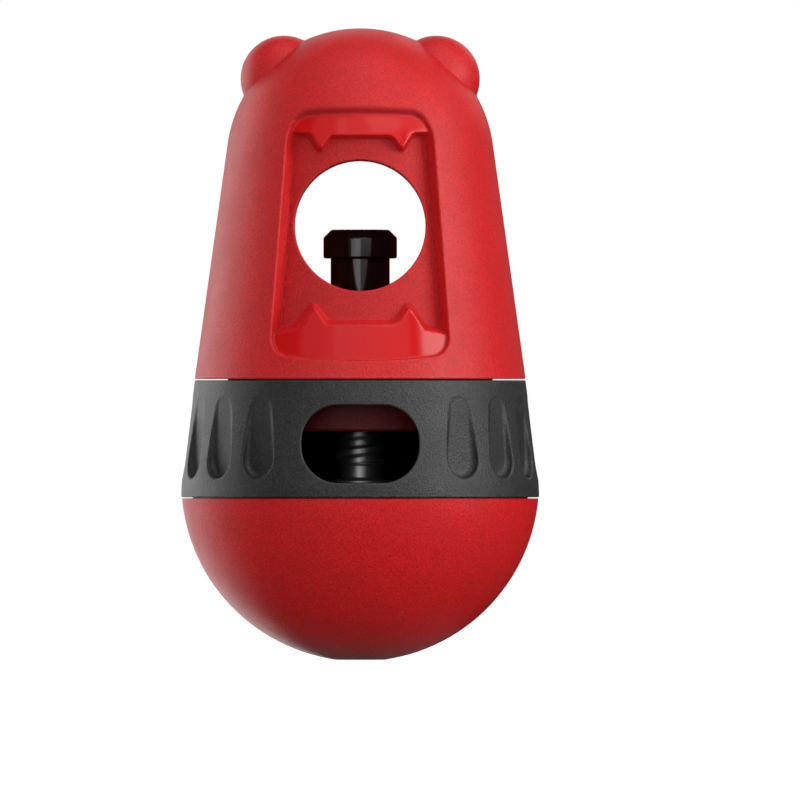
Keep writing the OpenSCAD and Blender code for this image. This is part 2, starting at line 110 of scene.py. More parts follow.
# Mouth
MOUTH_HALF = math.radians(34)
MOUTH_LOW = HEAD_Z + 4.45
MOUTH_HIGH = HEAD_Z + 65.05
MOUTH_LOW_BULGE = 0.0033
MOUTH_HIGH_BULGE = 0.0026
MOUTH_LOW_CORNER = 4.4
MOUTH_HIGH_CORNER = 5.0
MOUTH_DEPTH = 4.0
LIP_LOW = 0.35
LIP_HIGH = 0.45
LIP_FROM = HEAD_Z + 12
LIP_TO = HEAD_Z + 56
MOUTH_COVE = 0.12
MOUTH_LEAN = 0.9
MOUTH_LEAST_R = 1
HOLE_Z = HEAD_Z + 37.55
HOLE_R = 16.03
HOLE_EDGE = 0.35

# Places of the fangs' tips across the mouth
LOW_FANG_X = 11.65
HIGH_FANG_X = 10.1

# Gums, which run straight back along Y. Heights are those of the foot of their sloping wall.
GUM_DEPTH = 1.3
GUM_HEIGHT = MOUTH_DEPTH - GUM_DEPTH
LOW_GUM_SLOPE = 1.25
HIGH_GUM_SLOPE = 0.9
GUM_EDGE = 0.3
FANG_SHIFT = 0.45
GUM_COVE = 0.3
POLISH_FADE = 0.35
LOW_GUM_Z = HEAD_Z + 14.48
LOW_GUM_SIDE_Z = HEAD_Z + 13.25
LOW_GUM_FALL = 0.2
LOW_GUM_FALL_FROM = LOW_FANG_X + 4
HIGH_GUM_Z = HEAD_Z + 58.7
HIGH_GUM_SIDE_Z = HEAD_Z + 59.4

# Fangs: place of the sharp tip before it is rounded, slopes of the inner and outer flanks, and the
# hollow fillets at the foot of the left and right flanks
LOW_FANG = (LOW_FANG_X, HEAD_Z + 19.75, math.radians(56), math.radians(56))
HIGH_FANG = (HIGH_FANG_X, HEAD_Z + 54.5, math.radians(54), math.radians(60))
FANG_TIP = 1.9
FANG_FACE_TIP = 0.8
LOW_FANG_COVES = ((1.3, 0.25), (1.3, 0.25))
HIGH_FANG_COVES = ((1.0, 0.3), (0.9, 0.9))

# Painted shade in the mouth, darker and duller grain: how far from a wall it reaches and how fast it
# fades
SHADE_REACH = 0.4
SHADE_FADE = 0.3
SHADE_BAND = 1.5
MOUTH_FLOOR_FADE = 0.4
MOUTH_FLOOR_SHADE = 0.4

# Screw bosses in the head
BOSS_AT = math.radians(28)
BOSS_OUT = 35.04
BOSS_R = 3.4
BOSS_H = 12
SCREW_HOLE_R = 1.35
SCREW_HOLE_H = 9

# Ring
RING_Z = RING_LOW[2]
RING_TOP = RING_HIGH[2]
SWELL_R = 48
SWELL_X = RING_HIGH[0] - SWELL_R
RING_TOP_R = 40.55
RING_DRAFT = math.atan2(RING_TOP - RING_Z, RING_TOP_R - SWELL_X) - math.acos(
    SWELL_R / math.hypot(RING_TOP_R - SWELL_X, RING_TOP - RING_Z)
)
RING_FOOT_R = 41.4
RING_LEDGE_Z = RING_Z + 2.85
RING_IN_R = 39.4
RING_IN_TOP_R = 38.4
DECK_Z = RING_TOP - 2
DECK_HOLE_R = 32.8
RING_ROUND = 0.2
SLOT_W = 28.75
SLOT_H = 19
SLOT_CORNER = 9
SLOT_Z = RING_Z + 13.1
SLOT_ROUND = 0.45
FLUTE_STEP = math.radians(18)
FLUTE_FIRST = 2
FLUTE_LAST = 10
FLUTE_LOW_R = 4.55
FLUTE_HIGH_R = 3.5
FLUTE_RISE = 20.5 - FLUTE_LOW_R - FLUTE_HIGH_R
FLUTE_Z = RING_Z + 4.75 + FLUTE_LOW_R
FLUTE_FLOOR = 41.1
FLUTE_COVE = 1.3
FLUTE_ROUND = 0.5
LUG_HALF = math.radians(4)
LUG_SINK = 0.4

# Distances within which the meshes follow an edge with fine cells
NEAR_WALL = 1.5
NEAR_GUM = 0.9
NEAR_HOLE = 0.8
NEAR_EAR = 1.2
NEAR_RIM = 1.0
NEAR_FLUTE = 1.6
BELOW_SKIN = 1.2
ABOVE_SKIN = 0.5


# Distance field helpers
def join_round(a, b, radius):
    """Union of two fields with a fillet in the crease."""
    reach = np.hypot(np.maximum(radius - a, 0), np.maximum(radius - b, 0))
    return np.maximum(np.minimum(a, b), radius) - reach


def meet_round(a, b, radius):
    """Intersection of two fields with a rounded edge."""
    reach = np.hypot(np.maximum(radius + a, 0), np.maximum(radius + b, 0))
    return np.minimum(np.maximum(a, b), -radius) + reach


def cut_round(a, b, radius):
    """Field a without field b, with a rounded edge."""
    return meet_round(a, -b, radius)


def all_of(*fields):
    """Intersection of fields with sharp edges."""
    return np.maximum.reduce(fields)


# Head field
def head_surface(r, z):
    """Distance from the head's plain outside, a cone that runs into a dome."""
    h = z - DOME_Z
    cone = r * math.cos(DRAFT) + h * math.sin(DRAFT) - DOME_R
    dome = np.hypot(r, h) - DOME_R
    return np.where(h * math.cos(DRAFT) > r * math.sin(DRAFT), dome, cone)


def head_places(p):
    """Coordinates folded into one quarter of the head, the radius and the distance from its outside."""
    x = np.abs(p[:, 0])
    y = np.abs(p[:, 1])
    z = p[:, 2]
    r = np.hypot(x, y)
    return x, y, z, r, head_surface(r, z)


def ear_field(x, y, z):
    """Field of the ball that an ear is part of."""
    return np.sqrt((x - EAR_X) ** 2 + y**2 + (z - EAR_Z) ** 2) - EAR_R


def mouth_field(x, y, z, r, outside):
    """Field of the mouth's outline, whose sides stand on planes through the axis."""
    along = np.arctan2(x, y) * np.maximum(r - outside - GUM_DEPTH, MOUTH_LEAST_R)
    side = x * math.cos(MOUTH_HALF) - y * math.sin(MOUTH_HALF)
    top = z - MOUTH_HIGH + MOUTH_HIGH_BULGE * along**2 - MOUTH_LEAN * (outside + GUM_DEPTH)
    top = top / math.hypot(1, MOUTH_LEAN)
    low = MOUTH_LOW + MOUTH_LOW_BULGE * along**2 - z
    outline = meet_round(side, top, MOUTH_HIGH_CORNER)
    return meet_round(outline, low, MOUTH_LOW_CORNER)


def fang_field(fang, way, x, z, lean, share):
    """Fang at either side, up where way is 1 and down where it is -1, sharper towards its face."""
    tip_x, tip_z, inner, outer = fang
    h = (z - tip_z) * way
    out = np.abs(x) - tip_x
    near = h * math.cos(inner) - out * math.sin(inner) + lean
    far = h * math.cos(outer) + out * math.sin(outer) + lean
    return meet_round(near, far, FANG_TIP + (FANG_FACE_TIP - FANG_TIP) * np.clip(share, 0, 1))


def fang_cove(fang, coves, x):
    """Fillet at the foot of a fang: each fang has its own on the left and on the right flank."""
    left_fang, right_fang = coves
    on_left = np.where(x < -fang[0], left_fang[0], left_fang[1])
    on_right = np.where(x < fang[0], right_fang[0], right_fang[1])
    return np.where(x < 0, on_left, on_right)


def gum_field(x, z, deep):
    """Field of both gums with their fangs. Their walls lean out towards the foot, where deep is 0."""
    share = deep / GUM_HEIGHT
    lean_low = LOW_GUM_SLOPE * share
    lean_high = HIGH_GUM_SLOPE * share
    x = x - FANG_SHIFT * share
    out = np.abs(x)
    between = np.maximum(z - LOW_GUM_Z, out - LOW_FANG_X)
    fall = z - LOW_GUM_SIDE_Z + LOW_GUM_FALL * (out - LOW_GUM_FALL_FROM)
    beside = np.maximum(fall * math.cos(LOW_GUM_FALL), LOW_FANG_X - out)
    low = np.minimum(between, beside) + lean_low
    fang = fang_field(LOW_FANG, 1, x, z, lean_low, share)
    low = join_round(low, fang, fang_cove(LOW_FANG, LOW_FANG_COVES, x))
    edge = np.where(out < HIGH_FANG_X, HIGH_GUM_Z, HIGH_GUM_SIDE_Z)
    fang = fang_field(HIGH_FANG, -1, x, z, lean_high, share)
    high = join_round(edge - z + lean_high, fang, fang_cove(HIGH_FANG, HIGH_FANG_COVES, x))
    return np.minimum(low, high)


def gum_block(x, z, outside):
    """Field of the gums as blocks with sloping walls and a tight edge round their faces."""
    wall = gum_field(x, z, outside + MOUTH_DEPTH) / math.hypot(1, LOW_GUM_SLOPE / GUM_HEIGHT)
    return meet_round(outside + GUM_DEPTH, wall, GUM_EDGE)


def boss_distance(x, y):
    """Distance from the axis of a screw boss."""
    return np.hypot(x - BOSS_OUT * math.cos(BOSS_AT), y - BOSS_OUT * math.sin(BOSS_AT))


def head_field(p):
    """Field of the whole head: shell with ears, screw bosses, mouths with gums, and round windows."""
    x, y, z, r, outside = head_places(p)
    ear = ear_field(x, y, z)
    mouth = mouth_field(x, y, z, r, outside)
    body = join_round(outside, ear, EAR_CREASE)
    body = meet_round(body, HEAD_Z - z, RIM_ROUND)
    backing = meet_round(mouth - HEAD_WALL, -outside - MOUTH_DEPTH - HEAD_WALL, BACKING_ROUND)
    backing = meet_round(backing, FLANGE_Z + BACKING_FOOT - z, BACKING_FOOT_ROUND)
    hollow = cut_round(outside + HEAD_WALL, backing, HOLLOW_ROUND)
    hollow = join_round(hollow, ear + HEAD_WALL, HOLLOW_EAR_ROUND)
    shell = np.maximum(body, -hollow)
    boss_r = boss_distance(x, y)
    boss = all_of(boss_r - BOSS_R, outside + HEAD_WALL / 2, FLANGE_Z - z, z - FLANGE_Z - BOSS_H)
    shell = np.minimum(shell, boss)
    shell = np.maximum(shell, np.minimum(SCREW_HOLE_R - boss_r, FLANGE_Z + SCREW_HOLE_H - z))
    recess = meet_round(mouth, -outside - MOUTH_DEPTH, MOUTH_COVE)
    recess = cut_round(recess, gum_block(p[:, 0], z, outside), GUM_COVE)
    lip = LIP_LOW + (LIP_HIGH - LIP_LOW) * np.clip((z - LIP_FROM) / (LIP_TO - LIP_FROM), 0, 1)
    shell = cut_round(shell, recess, lip)
    hole = np.hypot(x, z - HOLE_Z) - HOLE_R
    return cut_round(shell, hole, HOLE_EDGE)


def head_fine(p):
    """True where the head has small forms."""
    x, y, z, r, outside = head_places(p)
    mouth = mouth_field(x, y, z, r, outside)
    ear = ear_field(x, y, z)
    in_wall = outside > -MOUTH_DEPTH - BELOW_SKIN
    fine = (np.abs(mouth) < NEAR_WALL) & in_wall
    gum = gum_field(p[:, 0], z, outside + MOUTH_DEPTH)
    fine |= (np.abs(gum) < NEAR_GUM) & (mouth < NEAR_RIM) & in_wall
    fine |= (np.abs(np.hypot(x, z - HOLE_Z) - HOLE_R) < NEAR_HOLE) & (y > HOLE_R)
    fine |= (np.abs(ear) < NEAR_EAR) & (np.abs(outside) < NEAR_EAR)
    fine |= z < HEAD_Z + NEAR_RIM
    by_boss = (boss_distance(x, y) < BOSS_R + NEAR_WALL) & (z < FLANGE_Z + BOSS_H + NEAR_WALL)
    fine |= by_boss & (outside < ABOVE_SKIN)
    return fine


def head_side(p):
    """1 for the inner face of the wall and 0 for the outer."""
    x, y, z, r, outside = head_places(p)
    return (np.minimum(outside, ear_field(x, y, z)) < -HEAD_WALL / 2).astype(np.int64)


def head_polish(p):
    """1 on the polished gums and fangs, 0 on the grained skin."""
    x, y, z, r, outside = head_places(p)
    mouth = mouth_field(x, y, z, r, outside)
    off_face = np.abs(outside + GUM_DEPTH) - POLISH_FADE
    gum = all_of(gum_field(p[:, 0], z, GUM_HEIGHT), mouth, off_face)
    return np.clip(0.5 - gum / POLISH_FADE, 0, 1)


def head_shade(p):
    """Painted shade: 1 on the mouth's overhanging top wall and some on its floor."""
    x, y, z, r, outside = head_places(p)
    mouth = mouth_field(x, y, z, r, outside)
    above_gum = np.abs(outside + GUM_DEPTH / 2) - GUM_DEPTH / 2
    wall = all_of(np.abs(mouth) - SHADE_REACH, MOUTH_HIGH - SHADE_BAND - z, above_gum)
    floor = all_of(mouth, np.abs(outside + MOUTH_DEPTH) - SHADE_REACH)
    on_wall = np.clip(0.5 - wall / SHADE_FADE, 0, 1)
    return np.maximum(on_wall, np.clip(-floor / MOUTH_FLOOR_FADE, 0, MOUTH_FLOOR_SHADE))


# Ring field
def ring_surface(r, z):
    """Distance from the ring's plain outside, which swells out at the foot."""
    h = z - RING_Z
    swell = np.hypot(r - SWELL_X, h) - SWELL_R
    cone = (r - SWELL_X) * math.cos(RING_DRAFT) + h * math.sin(RING_DRAFT) - SWELL_R
    return np.where(h * math.cos(RING_DRAFT) > (r - SWELL_X) * math.sin(RING_DRAFT), cone, swell)


def flute_field(x, y, z):
    """Pear outline pressed in towards a flat floor, repeated round the ring except at the window."""
    r = np.hypot(x, y)
    turn = np.arctan2(x, -y)
    place = np.clip(np.round(turn / FLUTE_STEP), FLUTE_FIRST, FLUTE_LAST) * FLUTE_STEP
    t = np.abs(r * np.sin(turn - place))
    h = z - FLUTE_Z
    lean = (FLUTE_LOW_R - FLUTE_HIGH_R) / FLUTE_RISE
    upright = math.sqrt(1 - lean**2)
    k = h * upright - t * lean
    low = np.hypot(t, h) - FLUTE_LOW_R
    high = np.hypot(t, h - FLUTE_RISE) - FLUTE_HIGH_R
    flank = t * upright + h * lean - FLUTE_LOW_R
    pear = np.where(k < 0, low, np.where(k > upright * FLUTE_RISE, high, flank))
    return pear, FLUTE_FLOOR - r * np.cos(turn - place)


def slot_field(x, z):
    """Outline of the dispensing window, in the plane through the axis."""
    u = x - SLOT_W / 2 + SLOT_CORNER
    v = np.abs(z - SLOT_Z) - SLOT_H / 2 + SLOT_CORNER
    return np.hypot(np.maximum(u, 0), np.maximum(v, 0)) + np.minimum(np.maximum(u, v), 0) - SLOT_CORNER


def ring_field(p):
    """Field of the whole ring: band with a deck, stop lug, flutes and dispensing window."""
    x = np.abs(p[:, 0])
    y = p[:, 1]
    z = p[:, 2]
    r = np.hypot(x, y)
    body = meet_round(ring_surface(r, z), z - RING_TOP, RING_ROUND)
    body = meet_round(body, RING_Z - z, RING_ROUND)
    taper = (RING_IN_R - RING_IN_TOP_R) / (DECK_Z - RING_LEDGE_Z)
    bore = all_of(r - RING_IN_R + taper * (z - RING_LEDGE_Z), z - DECK_Z)
    foot = all_of(r - RING_FOOT_R, z - RING_LEDGE_Z)
    space = np.minimum(np.minimum(bore, foot), r - DECK_HOLE_R)
    ring = np.maximum(body, -space)
    lug = all_of(x - y * math.tan(LUG_HALF), RING_IN_R - r, r - RING_FOOT_R - LUG_SINK)
    lug = all_of(lug, RING_Z + LUG_SINK - z, z - RING_LEDGE_Z - LUG_SINK)
    ring = np.minimum(ring, lug)
    pear, floor = flute_field(x, y, z)
    ring = cut_round(ring, meet_round(pear, floor, FLUTE_COVE), FLUTE_ROUND)
    return cut_round(ring, np.maximum(slot_field(x, z), y), SLOT_ROUND)


def ring_fine(p):
    """True where the ring has small forms."""
    x = np.abs(p[:, 0])
    y = p[:, 1]
    z = p[:, 2]
    r = np.hypot(x, y)
    outside = ring_surface(r, z)
    pear, floor = flute_field(x, y, z)
    fine = (np.abs(pear) < NEAR_FLUTE) & (outside > -BELOW_SKIN) & (floor < NEAR_RIM)
    fine |= (np.abs(slot_field(x, z)) < NEAR_RIM) & (y < 0)
    fine |= (z < RING_Z + NEAR_RIM) | (z > RING_TOP - NEAR_RIM)
    fine |= (z < RING_LEDGE_Z + NEAR_RIM) & (outside < -NEAR_RIM)
    fine |= (z > DECK_Z - NEAR_RIM) & (outside < -NEAR_RIM)
    return fine


def ring_side(p):
    """1 for the ring's bore and 0 for its outer face."""
    r = np.hypot(p[:, 0], p[:, 1])
    return (r < 0.5 * (RING_IN_R + FLUTE_FLOOR)).astype(np.int64)


# Mesh from a distance field. KEY is more than the cells along any side of a grid.
KEY = 4096
LAYERS = 16
COARSE = 3
GRADIENT_REACH = 0.02
GRADIENT_LEAST = 1e-9
SETTLE_ROUNDS = 5
SETTLE_STEP = 0.3
SPLIT_ROUNDS = 6


def cell_key(cells):
    """One whole number for each cell of a grid."""
    cells = cells.astype(np.int64)
    return (cells[..., 0] * KEY + cells[..., 1]) * KEY + cells[..., 2]


def grid_values(field, lines):
    """Field at every node of a grid, a few layers at a time."""
    values = np.empty([len(line) for line in lines], np.float32)
    xs, ys = np.meshgrid(lines[0], lines[1], indexing="ij")
    for k in range(0, len(lines[2]), LAYERS):
        zs = lines[2][k : k + LAYERS]
        points = np.empty((*xs.shape, len(zs), 3))
        points[..., 0] = xs[..., None]
        points[..., 1] = ys[..., None]
        points[..., 2] = zs
        values[:, :, k : k + LAYERS] = field(points.reshape(-1, 3)).reshape(points.shape[:3])
    return values


def crossed_edges(values, lines, step, mirror):
    """Where the surface crosses the grid: the cells round each crossing, its point and its quad."""
    inside = values < 0
    cells, points, quads = [], [], []
    for axis in range(3):
        head = [slice(None)] * 3
        tail = [slice(None)] * 3
        head[axis] = slice(None, -1)
        tail[axis] = slice(1, None)
        first = values[tuple(head)]
        crossed = inside[tuple(head)] != inside[tuple(tail)]
        at = np.argwhere(crossed)
        near = first[crossed]
        far = values[tuple(tail)][crossed]
        point = np.stack([lines[n][at[:, n]] for n in range(3)], 1)
        point[:, axis] += step * near / (near - far)
        quad = np.repeat(at[:, None], 4, 1)
        for corner, (du, dv) in enumerate(((-1, -1), (0, -1), (0, 0), (-1, 0))):
            quad[:, corner, (axis + 1) % 3] += du
            quad[:, corner, (axis + 2) % 3] += dv
        held = (quad >= 0).all((1, 2))
        cells.append(quad[held].reshape(-1, 3))
        points.append(np.repeat(point[held], 4, 0))
        quad[near > 0] = quad[near > 0][:, ::-1]
        for n in range(3):
            if mirror[n] and n != axis:
                held &= at[:, n] >= 1
        quads.append(quad[held])
    return np.concatenate(cells), np.concatenate(points), np.concatenate(quads)


def means(groups, points):
    """Mean point of every group."""
    count = np.bincount(groups)
    return np.stack([np.bincount(groups, points[:, n]) / count for n in range(3)], 1)


def drop_repeats(quads):
    """Quads and triangles that are left when some corners have fallen together."""
    same = quads == np.roll(quads, -1, 1)
    crossed = (quads[:, 0] == quads[:, 2]) | (quads[:, 1] == quads[:, 3])
    kept = same.sum(1)
    triangles = quads[(kept == 1) & ~crossed]
    triangles = triangles[~same[(kept == 1) & ~crossed]].reshape(-1, 3)
    return quads[(kept == 0) & ~crossed], triangles


def crowded_points(faces):
    """Points at an edge where more than two faces meet."""
    sides = [np.stack([f[:, n], f[:, (n + 1) % f.shape[1]]], 1) for f in faces for n in range(f.shape[1])]
    edges, count = np.unique(np.sort(np.concatenate(sides), 1), axis=0, return_counts=True)
    return np.unique(edges[count > 2])


def gradient(field, points):
    """Slope of a field at points."""
    slope = np.empty_like(points)
    for n in range(3):
        step = np.zeros(3)
        step[n] = GRADIENT_REACH
        slope[:, n] = (field(points + step) - field(points - step)) / (2 * GRADIENT_REACH)
    return slope


def settle(field, points, free):
    """Moves points onto the surface and gives its direction there."""
    points = points.copy()
    for _ in range(SETTLE_ROUNDS):
        slope = gradient(field, points) * free
        length = np.maximum((slope**2).sum(1), GRADIENT_LEAST)
        step = np.clip(field(points) / length, -SETTLE_STEP, SETTLE_STEP)
        points -= step[:, None] * slope
    slope = gradient(field, points) * free
    return points, slope / np.linalg.norm(slope, axis=1)[:, None]


def net(field, fine_at, side_of, low, high, step, mirror):
    """Closed mesh of a field, mirrored where asked for.

    There is a point for each cell where forms are small, and for each block of cells elsewhere.
    """
    lines = []
    for n in range(3):
        start = -step / 2 if mirror[n] else low[n]
        lines.append(np.arange(start, high[n] + step, step))
    cells, points, quads = crossed_edges(grid_values(field, lines), lines, step, mirror)
    keys, of_cell = np.unique(cell_key(cells), return_inverse=True)
    cells = np.stack([keys // KEY // KEY, keys // KEY % KEY, keys % KEY], 1)
    points = means(of_cell, points)
    half = np.array([COARSE // 2 if m else 0 for m in mirror])
    blocks = (cells + half) // COARSE
    side = side_of(points)
    _, block_of = np.unique(cell_key(blocks) * 2 + side, return_inverse=True)
    fine_block = np.bincount(block_of, fine_at(points)) > 0
    corners = np.searchsorted(keys, cell_key(quads))
    for _ in range(SPLIT_ROUNDS):
        fine = fine_block[block_of]
        leaf = cell_key(np.where(fine[:, None], cells, blocks)) * 4 + np.where(fine, 0, 1 + side)
        _, leaf_of = np.unique(leaf, return_inverse=True)
        faces = drop_repeats(leaf_of[corners])
        # a block where more than two faces share an edge goes back to its cells
        crowded = np.isin(leaf_of, crowded_points(faces)) & ~fine
        if not crowded.any():
            break
        fine_block[block_of[crowded]] = True
    places = means(leaf_of, points)
    free = np.ones_like(places)
    for n in range(3):
        if mirror[n]:
            on_plane = np.bincount(leaf_of, cells[:, n] == 0) > 0
            places[on_plane, n] = 0
            free[on_plane, n] = 0
    places, normals = settle(field, places, free)
    for n in range(3):
        if mirror[n]:
            places, normals, faces = mirrored(places, normals, faces, n)
    return places, normals, faces


def mirrored(places, normals, faces, axis):
    """Adds the mirror image across a plane through the origin, sharing the points that lie on it."""
    off = np.flatnonzero(places[:, axis] != 0)
    image = np.arange(len(places))
    image[off] = len(places) + np.arange(len(off))
    flip = np.ones(3)
    flip[axis] = -1
    faces = [np.concatenate([f, image[f][:, ::-1]]) for f in faces]
    places = np.concatenate([places, places[off] * flip])
    normals = np.concatenate([normals, normals[off] * flip])
    return places, normals, faces


# Marks on the skin: how far from it the field is read, and the change there that gives a full mark
WEAR_REACH = 0.6
WEAR_RISE = 0.45


def worn_edges(field, places, normals):
    """1 on outward edges, where hands and teeth rub, and 0 on plain skin and in hollows."""
    inward = field(places - WEAR_REACH * normals) + WEAR_REACH
    return np.clip(inward / WEAR_RISE, 0, 1)


def painted_corner_shade(field, places, normals):
    """Painted shade: 1 in inward corners, where the grain is darkened and dulled, and 0 on plain skin."""
    outward = WEAR_REACH - field(places + WEAR_REACH * normals)
    return np.clip(outward / WEAR_RISE, 0, 1)


def skin_marks(field, places, normals):
    """Marks that the grained materials read from the mesh."""
    # the hollow mark is painted shade in inward corners
    return {"wear": worn_edges(field, places, normals), "hollow": painted_corner_shade(field, places, normals)}


BODY_OF = {
    "head_shell": "head",
    "grip_ring": "ring",
    "knob": "knob",
    "stud": "base",
}


def add_piece(name, node, places, faces, material, normals=None, marks=None):
    """Puts a mesh in place of a CAD node, riding on the same body."""
    mesh = bpy.data.meshes.new(name)
    mesh.from_pydata((places * MM).tolist(), [], [list(f) for part in faces for f in part.tolist()])
    mesh.polygons.foreach_set("use_smooth", np.ones(len(mesh.polygons), bool))
    mesh.materials.append(material)
    for mark, values in (marks or {}).items():
        layer = mesh.attributes.new(mark, "FLOAT", "POINT")
        layer.data.foreach_set("value", values.astype(np.float32))
    if normals is not None:
        mesh.normals_split_custom_set_from_vertices(normals.tolist())
    piece = bpy.data.objects.new(name, mesh)
    bpy.context.collection.objects.link(piece)
    if normals is None:
        piece.modifiers.new("even normals", "WEIGHTED_NORMAL").keep_sharp = True
    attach(piece, BODY_OF[node])
    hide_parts(node)


# Turned pieces
ARC_STEPS = 5
TURN_PLACES = 128


def rounded_line(corners):
    """Closed outline of (radius, height, fillet) corners, with every fillet drawn as an arc."""
    line = []
    for i, (r, z, fillet) in enumerate(corners):
        here = np.array([r, z])
        if fillet == 0:
            line.append(here)
            continue
        back = np.array(corners[i - 1][:2]) - here
        on = np.array(corners[(i + 1) % len(corners)][:2]) - here
        back = back / np.linalg.norm(back)
        on = on / np.linalg.norm(on)
        half = math.acos(float(np.clip(back @ on, -1, 1))) / 2
        middle = here + (back + on) / np.linalg.norm(back + on) * fillet / math.sin(half)
        start = here + back * fillet / math.tan(half) - middle
        end = here + on * fillet / math.tan(half) - middle
        first = math.atan2(start[1], start[0])
        turn = (math.atan2(end[1], end[0]) - first + math.pi) % (2 * math.pi) - math.pi
        for n in range(ARC_STEPS + 1):
            a = first + turn * n / ARC_STEPS
            line.append(middle + fillet * np.array([math.cos(a), math.sin(a)]))
    return np.array(line)


def turned(line):
    """Points and faces of an outline turned round the axis, with a flat cap on either end."""
    angles = np.linspace(0, 2 * math.pi, TURN_PLACES, endpoint=False)
    rows = np.empty((len(line), TURN_PLACES, 3))
    rows[..., 0] = line[:, :1] * np.cos(angles)
    rows[..., 1] = line[:, :1] * np.sin(angles)
    rows[..., 2] = line[:, 1:]
    index = np.arange(len(line) * TURN_PLACES).reshape(len(line), TURN_PLACES)
    return rows.reshape(-1, 3), capped_faces(index)


def capped_faces(index):
    """Quads between the rows of a grid that closes on itself across, and a cap on its two end rows."""
    here = index[:-1]
    on = index[1:]
    quads = np.stack([here, np.roll(here, -1, 1), np.roll(on, -1, 1), on], -1)
    caps = np.stack([index[0][::-1], index[-1]])
    return [quads.reshape(-1, 4), caps]


# Materials: sizes in millimetres, colours as linear red, green and blue
GRAIN_MM = 0.4
GRAIN_DETAIL = 3.0
GRAIN_SPREAD = (0.36, 0.64)
CLOUD_MM = 9.0
CLOUD_SHARE = 0.35
ROUGH_RANGE = 0.03
RUBBED_PATCHES = (0.25, 0.7)
RUBBED_SMOOTHER = 0.12
# Painted shade where the hollow mark lies: how dark it goes, how strongly it covers, and how rough
PAINTED_SHADE_SHARE = 0.5
PAINTED_SHADE_COVER = 0.5
SHADE_MARK_ROUGH = 0.85
MARKS_DETAIL = 4.0
TONE_LOW = 0.8
TONE_HIGH = 1.2
RED_DARK = (0.45, 0.006, 0.008)
RED_LIGHT = (0.72, 0.011, 0.013)
RED_WORN = (0.74, 0.02, 0.022)
RED_POLISHED = (0.58, 0.003, 0.004)
POLISHED_ROUGH = 0.15
GREY_DARK = (0.008, 0.008, 0.0085)
GREY_LIGHT = (0.036, 0.036, 0.037)
GREY_WORN = (0.055, 0.055, 0.056)
# Lid: its red darkened as painted shade, for the lid sits in shade inside the ring
LID_SHADED_DARK = (0.06, 0.002, 0.003)
LID_SHADED_LIGHT = (0.14, 0.004, 0.005)
# Knob: black with a red tint that is a painted reflection of the red head round it
KNOB_BLACK_AND_RED_REFLECTION = (0.012, 0.005, 0.005)
STUD_COLOUR = (0.035, 0.035, 0.035)
CUP_COLOUR = (0.006, 0.006, 0.007)
RUBBER_COLOUR = (0.02, 0.02, 0.02)
STEEL_COLOUR = (0.5, 0.5, 0.52)
CAST_COLOUR = (0.3, 0.3, 0.31)


def new_material(name):
    """Material with its nodes, its links and its main shader."""
    material = bpy.data.materials.new(name)
    material.use_nodes = True
    nodes = material.node_tree.nodes
    return material, nodes, material.node_tree.links, nodes["Principled BSDF"]


def noise(nodes, links, size_mm, detail=2.0):
    """Noise whose features are about size_mm across on the real piece."""
    place = nodes.new("ShaderNodeTexCoord")
    field = nodes.new("ShaderNodeTexNoise")
    field.inputs["Scale"].default_value = 1 / (size_mm * MM)
    field.inputs["Detail"].default_value = detail
    links.new(place.outputs["Object"], field.inputs["Vector"])
    return field.outputs["Fac"]


def spread(nodes, links, value, low, high, from_low=0.3, from_high=0.7):
    """Value stretched to run from low to high, each a constant or a node's output."""
    ramp = nodes.new("ShaderNodeMapRange")
    ramp.inputs["From Min"].default_value = from_low
    ramp.inputs["From Max"].default_value = from_high
    for limit, end in (("To Min", low), ("To Max", high)):
        if isinstance(end, bpy.types.NodeSocket):
            links.new(end, ramp.inputs[limit])
        else:
            ramp.inputs[limit].default_value = end
    links.new(value, ramp.inputs["Value"])
    return ramp.outputs["Result"]


def mixed(nodes, links, factor, first, second, kind="FLOAT"):
    """Mix of two values or two colours, each given as a constant or as a node's output."""
    mix = nodes.new("ShaderNodeMix")
    mix.data_type = kind
    slots = {"FLOAT": (2, 3, 0), "RGBA": (6, 7, 2)}[kind]
    for slot, value in zip(slots, (first, second)):
        if isinstance(value, bpy.types.NodeSocket):
            links.new(value, mix.inputs[slot])
        else:
            mix.inputs[slot].default_value = value
    links.new(factor, mix.inputs[0])
    return mix.outputs[slots[2]]


def bumped(nodes, links, shader, height, depth_mm):
    """Relief of a height that runs from 0 to depth_mm."""
    bump = nodes.new("ShaderNodeBump")
    bump.inputs["Distance"].default_value = depth_mm * MM
    links.new(height, bump.inputs["Height"])
    links.new(bump.outputs["Normal"], shader.inputs["Normal"])
    return bump


def mark_of(nodes, name):
    """Mark that skin_marks() or add_head() has left on the mesh."""
    mark = nodes.new("ShaderNodeAttribute")
    mark.attribute_name = name
    return mark.outputs["Fac"]


def product(nodes, links, first, second):
    """Product of two values, each given as a constant or as a node's output."""
    share = nodes.new("ShaderNodeMath")
    share.operation = "MULTIPLY"
    for slot, value in zip(share.inputs, (first, second)):
        if isinstance(value, bpy.types.NodeSocket):
            links.new(value, slot)
        else:
            slot.default_value = value
    return share.outputs[0]


